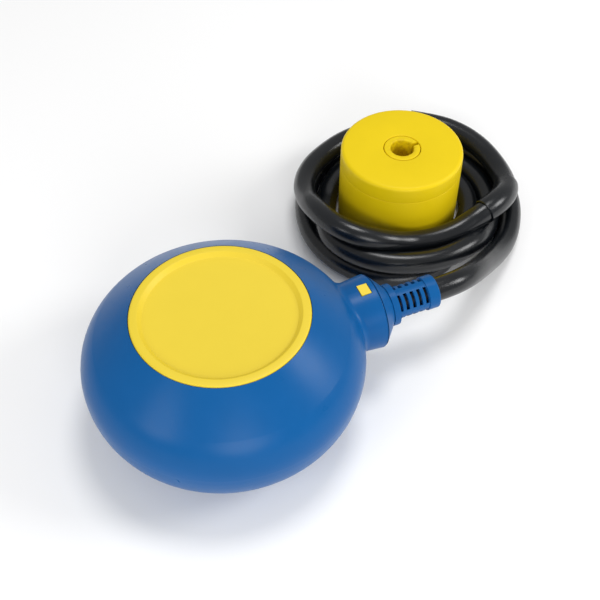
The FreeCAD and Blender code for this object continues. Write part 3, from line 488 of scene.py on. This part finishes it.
# Shader groups. Each gives a colour, and the skins also a roughness and a height for a bump.
def newGroup(name, inputs, outputs=("Color", "Roughness", "Height")):
    group = bpy.data.node_groups.new(name, "ShaderNodeTree")
    for label, kind, value in inputs:
        socket = group.interface.new_socket(name=label, in_out="INPUT", socket_type="NodeSocket" + kind)
        socket.default_value = value
    for label in outputs:
        kind = "Color" if label == "Color" else "Float"
        group.interface.new_socket(name=label, in_out="OUTPUT", socket_type="NodeSocket" + kind)
    return group


def addNode(tree, kind, **settings):
    node = tree.nodes.new("ShaderNode" + kind)
    for name, value in settings.items():
        setattr(node, name, value)
    return node


def addMath(tree, operation, first, second=None):
    node = addNode(tree, "Math", operation=operation)
    for socket, value in zip(node.inputs, (first, second)):
        if value is None:
            continue
        if isinstance(value, (int, float)):
            socket.default_value = value
        else:
            tree.links.new(value, socket)
    return node.outputs[0]


def addNoise(tree, vector, scale, detail=2.0, roughness=0.5):
    node = addNode(tree, "TexNoise")
    node.inputs["Detail"].default_value = detail
    node.inputs["Roughness"].default_value = roughness
    tree.links.new(vector, node.inputs["Vector"])
    if isinstance(scale, (int, float)):
        node.inputs["Scale"].default_value = scale
    else:
        tree.links.new(scale, node.inputs["Scale"])
    return node.outputs["Fac"]


def shadeColour(tree, colour, amount):
    value = addNode(tree, "HueSaturation")
    tree.links.new(colour, value.inputs["Color"])
    tree.links.new(amount, value.inputs["Value"])
    return value.outputs["Color"]


def mouldedGroup():
    group = newGroup("mouldedSkin", [
        ("Color", "Color", (0.5, 0.5, 0.5, 1)),
        ("Tone", "Float", 0.05),
        ("Roughness", "Float", 0.35),
        ("Polish", "Float", 0.06),
        ("Grain Scale", "Float", 2200.0),
    ])
    given = group.nodes.new("NodeGroupInput")
    result = group.nodes.new("NodeGroupOutput")
    place = addNode(group, "TexCoord").outputs["Object"]
    broad = addNoise(group, place, noiseScales["broad"], detail=1.0)
    flow = addNoise(group, place, noiseScales["flow"], detail=3.0, roughness=0.6)
    grain = addNoise(group, place, given.outputs["Grain Scale"], detail=2.0)
    drift = addMath(group, "SUBTRACT", addMath(group, "ADD", broad, flow), 1.0)
    value = addMath(group, "ADD", addMath(group, "MULTIPLY", drift, given.outputs["Tone"]), 1.0)
    group.links.new(shadeColour(group, given.outputs["Color"], value), result.inputs["Color"])
    polish = addMath(group, "SUBTRACT", flow, 0.5)
    polish = addMath(group, "MULTIPLY", polish, given.outputs["Polish"])
    rough = addMath(group, "ADD", given.outputs["Roughness"], polish)
    group.links.new(rough, result.inputs["Roughness"])
    group.links.new(grain, result.inputs["Height"])
    return group


def jacketGroup():
    group = newGroup("jacketSkin", [
        ("Color", "Color", (0.02, 0.02, 0.02, 1)),
        ("Dust", "Color", (0.1, 0.1, 0.1, 1)),
        ("Dust Amount", "Float", 0.25),
        ("Roughness", "Float", 0.45),
        ("Grain Scale", "Float", 3000.0),
    ])
    given = group.nodes.new("NodeGroupInput")
    result = group.nodes.new("NodeGroupOutput")
    place = addNode(group, "TexCoord").outputs["Object"]
    cloud = addNoise(group, place, noiseScales["cloud"], detail=4.0, roughness=0.65)
    fine = addNoise(group, place, given.outputs["Grain Scale"], detail=3.0, roughness=0.7)
    blend = addNode(group, "Mix", data_type="RGBA")
    dust = addMath(group, "MULTIPLY", cloud, fine)
    dust = addMath(group, "MULTIPLY", dust, given.outputs["Dust Amount"])
    group.links.new(dust, blend.inputs["Factor"])
    group.links.new(given.outputs["Color"], blend.inputs["A"])
    group.links.new(given.outputs["Dust"], blend.inputs["B"])
    group.links.new(blend.outputs["Result"], result.inputs["Color"])
    wear = addMath(group, "MULTIPLY", addMath(group, "SUBTRACT", cloud, 0.5), 0.25)
    rough = addMath(group, "ADD", given.outputs["Roughness"], wear)
    group.links.new(rough, result.inputs["Roughness"])
    group.links.new(fine, result.inputs["Height"])
    return group


def metalGroup():
    group = newGroup("metalSkin", [
        ("Color", "Color", (0.6, 0.6, 0.6, 1)),
        ("Tone", "Float", 0.1),
        ("Roughness", "Float", 0.3),
        ("Polish", "Float", 0.15),
        ("Stretch", "Float", 20.0),
    ])
    given = group.nodes.new("NodeGroupInput")
    result = group.nodes.new("NodeGroupOutput")
    place = addNode(group, "TexCoord").outputs["Object"]
    stretched = addNode(group, "VectorMath", operation="MULTIPLY")
    shape = addNode(group, "CombineXYZ")
    shape.inputs["X"].default_value = 1.0
    shape.inputs["Y"].default_value = 1.0
    group.links.new(given.outputs["Stretch"], shape.inputs["Z"])
    group.links.new(place, stretched.inputs[0])
    group.links.new(shape.outputs["Vector"], stretched.inputs[1])
    streak = addNoise(group, stretched.outputs["Vector"], noiseScales["streak"],
                      detail=4.0, roughness=0.6)
    drift = addMath(group, "SUBTRACT", streak, 0.5)
    value = addMath(group, "ADD", addMath(group, "MULTIPLY", drift, given.outputs["Tone"]), 1.0)
    group.links.new(shadeColour(group, given.outputs["Color"], value), result.inputs["Color"])
    polish = addMath(group, "MULTIPLY", drift, given.outputs["Polish"])
    rough = addMath(group, "ADD", given.outputs["Roughness"], polish)
    group.links.new(rough, result.inputs["Roughness"])
    group.links.new(streak, result.inputs["Height"])
    return group


# Painted shade: a second colour in patches, close to an upright line through a place, for the shadow
# down a bore
def boreShadeGroup():
    group = newGroup("boreShadeTree", [
        ("Color", "Color", (0.5, 0.5, 0.5, 1)),
        ("Painted Shade", "Color", (0.2, 0.1, 0.05, 1)),
        ("Place", "Vector", (0, 0, 0)),
        ("Reach", "Float", 0.006),
        ("Cover", "Float", 0.5),
        ("Threshold", "Float", 0.9),
        ("Contrast", "Float", 9.0),
    ], outputs=("Color",))
    given = group.nodes.new("NodeGroupInput")
    result = group.nodes.new("NodeGroupOutput")
    place = addNode(group, "TexCoord").outputs["Object"]
    apart = addNode(group, "VectorMath", operation="SUBTRACT")
    group.links.new(place, apart.inputs[0])
    group.links.new(given.outputs["Place"], apart.inputs[1])
    flat = addNode(group, "VectorMath", operation="MULTIPLY")
    flat.inputs[1].default_value = (1, 1, 0)
    group.links.new(apart.outputs["Vector"], flat.inputs[0])
    length = addNode(group, "VectorMath", operation="LENGTH")
    group.links.new(flat.outputs["Vector"], length.inputs[0])
    near = addNode(group, "MapRange", interpolation_type="SMOOTHSTEP")
    group.links.new(length.outputs["Value"], near.inputs["Value"])
    group.links.new(given.outputs["Reach"], near.inputs["From Max"])
    near.inputs["To Min"].default_value = 1.0
    near.inputs["To Max"].default_value = 0.0
    patches = addNoise(group, place, noiseScales["shadePatches"], detail=3.0, roughness=0.6)
    patches = addMath(group, "ADD", patches, given.outputs["Cover"])
    patches = addMath(group, "SUBTRACT", patches, given.outputs["Threshold"])
    patches = addMath(group, "MULTIPLY", patches, given.outputs["Contrast"])
    mask = addNode(group, "Clamp")
    group.links.new(patches, mask.inputs["Value"])
    blend = addNode(group, "Mix", data_type="RGBA")
    share = addMath(group, "MULTIPLY", mask.outputs["Result"], near.outputs["Result"])
    group.links.new(share, blend.inputs["Factor"])
    group.links.new(given.outputs["Color"], blend.inputs["A"])
    group.links.new(given.outputs["Painted Shade"], blend.inputs["B"])
    group.links.new(blend.outputs["Result"], result.inputs["Color"])
    return group


groups = {"moulded": mouldedGroup(), "jacket": jacketGroup(), "metal": metalGroup()}
# Group for the painted shade in the clamp's bore
boreShadeTree = boreShadeGroup()


def linear(red, green, blue):
    def channel(value):
        share = value / 255
        return share / 12.92 if share <= 0.04045 else ((share + 0.055) / 1.055) ** 2.4
    return (channel(red), channel(green), channel(blue), 1.0)


bumpDistance = 0.0004                  # metres

# Every finish: its shader group, the group's values and the shader's own constants
finishes = {
    "blueShell": ("moulded", {"Color": (12, 87, 149), "Tone": 0.08, "Roughness": 0.3, "Polish": 0.12},
                  {"bump": 0.04, "Specular IOR Level": 0.15}),
    "yellowCover": ("moulded", {"Color": (229, 202, 52), "Tone": 0.03, "Roughness": 0.42},
                    {"bump": 0.04, "Specular IOR Level": 0.35}),
    "yellowWeight": ("moulded", {"Color": (230, 200, 10), "Tone": 0.05, "Roughness": 0.44},
                     {"bump": 0.06, "Specular IOR Level": 0.2}),
    # The clamp's finish carries the painted shade in its bore
    "yellowClampBoreShade": ("moulded", {"Color": (230, 200, 10), "Tone": 0.05, "Roughness": 0.44},
                    {"bump": 0.06, "Specular IOR Level": 0.2}),
    "yellowClip": ("moulded", {"Color": (240, 212, 60), "Roughness": 0.4}, {"bump": 0.04}),
    "cableJacket": ("jacket", {"Color": (12, 15, 19), "Dust": (58, 64, 70), "Dust Amount": 0.1,
                               "Roughness": 0.24}, {"bump": 0.1}),
    "softRubber": ("jacket", {"Color": (20, 20, 22), "Dust": (70, 70, 72), "Roughness": 0.55},
                   {"bump": 0.1}),
    "greyChamber": ("moulded", {"Color": (205, 208, 206), "Roughness": 0.42}, {"bump": 0.06}),
    "blackCase": ("moulded", {"Color": (26, 26, 28), "Roughness": 0.4}, {"bump": 0.08}),
    "redButton": ("moulded", {"Color": (176, 36, 28), "Roughness": 0.35}, {"bump": 0.05}),
    "brownCore": ("moulded", {"Color": (105, 62, 34), "Roughness": 0.38}, {"bump": 0.05}),
    "blueCore": ("moulded", {"Color": (52, 110, 190), "Roughness": 0.38}, {"bump": 0.05}),
    "blackCore": ("moulded", {"Color": (30, 30, 32), "Roughness": 0.38}, {"bump": 0.05}),
    "platedSteel": ("metal", {"Color": (190, 192, 195), "Roughness": 0.3, "Stretch": 12.0},
                    {"bump": 0.04, "Metallic": 1.0}),
    "polishedSteel": ("metal", {"Color": (214, 216, 220), "Roughness": 0.1, "Polish": 0.06,
                                "Stretch": 1.0}, {"bump": 0.01, "Metallic": 1.0}),
    "contactBrass": ("metal", {"Color": (206, 170, 96), "Roughness": 0.26, "Stretch": 16.0},
                     {"bump": 0.04, "Metallic": 1.0}),
    "castIron": ("metal", {"Color": (74, 71, 70), "Tone": 0.4, "Roughness": 0.6, "Polish": 0.3,
                           "Stretch": 1.0}, {"bump": 0.6, "Metallic": 0.7}),
}


def buildMaterial(name):
    kind, values, constants = finishes[name]
    material = bpy.data.materials.new(name)
    material.use_nodes = True
    tree = material.node_tree
    shader = tree.nodes["Principled BSDF"]
    skin = addNode(tree, "Group", node_tree=groups[kind])
    for label, value in values.items():
        skin.inputs[label].default_value = linear(*value) if isinstance(value, tuple) else value
    tree.links.new(skin.outputs["Color"], shader.inputs["Base Color"])
    tree.links.new(skin.outputs["Roughness"], shader.inputs["Roughness"])
    bump = addNode(tree, "Bump")
    bump.inputs["Strength"].default_value = constants["bump"]
    bump.inputs["Distance"].default_value = bumpDistance
    tree.links.new(skin.outputs["Height"], bump.inputs["Height"])
    tree.links.new(bump.outputs["Normal"], shader.inputs["Normal"])
    for label, value in constants.items():
        if label != "bump":
            shader.inputs[label].default_value = value
    return material


materials = {name: buildMaterial(name) for name in finishes}

# Painted shade in the cable's clamp: brown patches in its bore for the shadow inside it
boreShade = {"colour": (126, 58, 24), "place": (0.1032, 0.0668, 0.0), "reach": 0.0072, "cover": 0.46}


# Lays the painted bore shade over a finish's colour
def addBoreShade(material):
    tree = material.node_tree
    shader = tree.nodes["Principled BSDF"]
    given = shader.inputs["Base Color"].links[0].from_socket
    shadePatches = addNode(tree, "Group", node_tree=boreShadeTree)
    shadePatches.inputs["Painted Shade"].default_value = linear(*boreShade["colour"])
    shadePatches.inputs["Place"].default_value = boreShade["place"]
    shadePatches.inputs["Reach"].default_value = boreShade["reach"]
    shadePatches.inputs["Cover"].default_value = boreShade["cover"]
    tree.links.new(given, shadePatches.inputs["Color"])
    tree.links.new(shadePatches.outputs["Color"], shader.inputs["Base Color"])


# Painted shade: brown patches in the clamp's bore
addBoreShade(materials["yellowClampBoreShade"])

nodeFinishes = {
    "blueShell": ["float_body", "gland_plug", "strain_relief"],
    "yellowCover": ["cover_disc"],
    "yellowWeight": ["weight_cup", "weight_lid"],
    "yellowClampBoreShade": ["weight_clamp"],
    "yellowClip": ["gland_clip"],
    "cableJacket": ["cable_end", "cable_lead", "cable_coil"],
    "softRubber": ["cover_seal", "cable_grommet", "capsule_gasket", "capsule_grommet",
                   "cable_sleeve"],
    "greyChamber": ["capsule_base", "capsule_lid", "ball_guide"],
    "blackCase": ["switch_case", "switch_cover"],
    "redButton": ["switch_plunger"],
    "brownCore": ["brown_wire"],
    "blueCore": ["blue_wire"],
    "blackCore": ["black_wire"],
    "platedSteel": ["grommet_washer", "capsule_screws", "switch_screws", "lever_pin",
                    "switch_lever"],
    "polishedSteel": ["steel_ball"],
    "contactBrass": ["contact_blade", "common_terminal", "open_terminal", "closed_terminal"],
    "castIron": ["weight_ballast"],
}


def paint(item, finish):
    item.data.materials.clear()
    item.data.materials.append(materials[finish])


for finish, names in nodeFinishes.items():
    for name in names:
        paint(nodes[name], finish)
paint(cableRun, "cableJacket")
paint(cableSleeve, "cableJacket")
paint(coverPlate, "yellowCover")
paint(weightCup, "yellowWeight")
paint(weightLid, "yellowWeight")
paint(weightClamp, "yellowClampBoreShade")
print("finishes:", len(materials))


# Pale floor, soft lamps and a white surround
studio = {
    "floor": 3.0,                      # metres
    "floorTone": 0.97,
    "floorRoughness": 0.9,
    "world": 0.44,
    # name, place, size, watts, aimed at the middle of the part
    "lamps": [
        ("topLamp", (0.25, 0.2, 1.1), 0.4, 4.0),
        ("frontLamp", (-0.15, -0.95, 0.45), 0.6, 4.4),
        ("rightLamp", (0.85, -0.3, 0.6), 0.4, 3.5),
        ("leftLamp", (-0.8, -0.3, 0.5), 0.4, 1.7),
    ],
    "aim": (0.04, 0.02, 0.02),
}


def addFloor():
    mesh = bmesh.new()
    bmesh.ops.create_grid(mesh, x_segments=1, y_segments=1, size=studio["floor"])
    data = bpy.data.meshes.new("floor")
    mesh.to_mesh(data)
    mesh.free()
    floor = linkObject("floor", data)
    material = bpy.data.materials.new("paleFloor")
    material.use_nodes = True
    shader = material.node_tree.nodes["Principled BSDF"]
    shader.inputs["Base Color"].default_value = (*[studio["floorTone"]] * 3, 1)
    shader.inputs["Roughness"].default_value = studio["floorRoughness"]
    data.materials.append(material)


def addLamps():
    for name, place, size, watts in studio["lamps"]:
        data = bpy.data.lights.new(name, "AREA")
        data.shape = "DISK"
        data.size = size
        data.energy = watts
        lamp = linkObject(name, data)
        lamp.location = place
        aim = Vector(studio["aim"]) - lamp.location
        lamp.rotation_euler = aim.to_track_quat("-Z", "Y").to_euler()


def addSurround():
    world = bpy.data.worlds.new("surround")
    world.use_nodes = True
    bpy.context.scene.world = world
    tree = world.node_tree
    background = tree.nodes["Background"]
    background.inputs["Color"].default_value = (1, 1, 1, 1)
    background.inputs["Strength"].default_value = studio["world"]


addFloor()
addLamps()
addSurround()
bpy.context.scene.view_settings.view_transform = "Standard"
print("studio lit")

# The curve's bound box only fits it after a second update
bpy.context.view_layer.update()
cableRun.update_tag(refresh={"OBJECT"})
bpy.context.view_layer.update()
